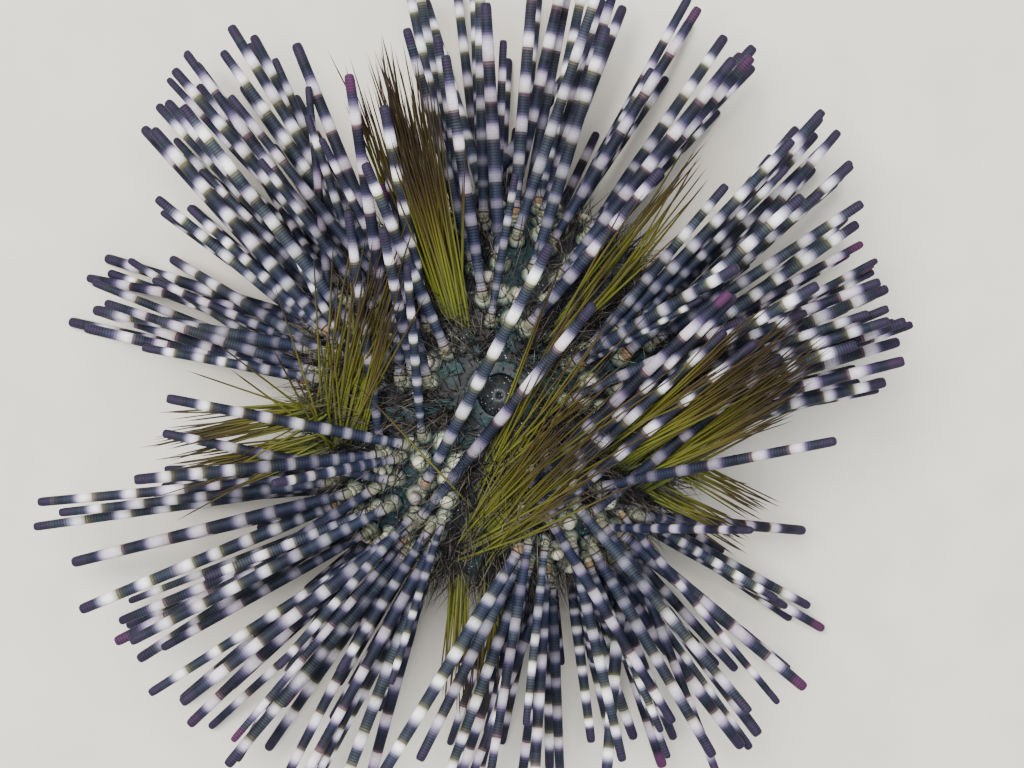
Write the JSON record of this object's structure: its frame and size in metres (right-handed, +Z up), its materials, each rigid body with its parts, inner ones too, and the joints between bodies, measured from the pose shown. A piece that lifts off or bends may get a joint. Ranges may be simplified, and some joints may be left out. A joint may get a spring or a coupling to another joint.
{
  "type": "sea urchin model",
  "caption": "Life-size still model of a banded sea urchin: flattened round test, banded spines lying in fans, and tufts of fine needles, resting on its lower spines.",
  "frame": {"origin": "middle of the animal's outline in X and Y, at the floor that it rests on", "axes": "+Z up through the top of the test, +X to the right and +Y to the top of the picture"},
  "size_m": [0.1572, 0.1532, 0.0601],
  "materials": {
    "banded_spines": "chalky spines banded in dark slate violet and cream, with fine rings across them",
    "fine_spines": "thin glossy needles, olive yellow at the root and dark brown at the tip",
    "skin": "moist dark blue black skin with teal patches and pale tubercles",
    "teeth": "smooth ivory chalk"
  },
  "bodies": {
    "root": {"interambulacrum_1": "banded_spines", "interambulacrum_2": "banded_spines", "interambulacrum_3": "banded_spines", "interambulacrum_4": "banded_spines", "interambulacrum_5": "banded_spines", "ambulacrum_1": "fine_spines", "ambulacrum_2": "fine_spines", "ambulacrum_3": "fine_spines", "ambulacrum_4": "fine_spines", "ambulacrum_5": "fine_spines", "apical_disc": "skin", "anal_cone": "skin", "peristome": "skin", "tooth_1": "teeth", "tooth_2": "teeth", "tooth_3": "teeth", "tooth_4": "teeth", "tooth_5": "teeth"}
  },
  "joints": []
}
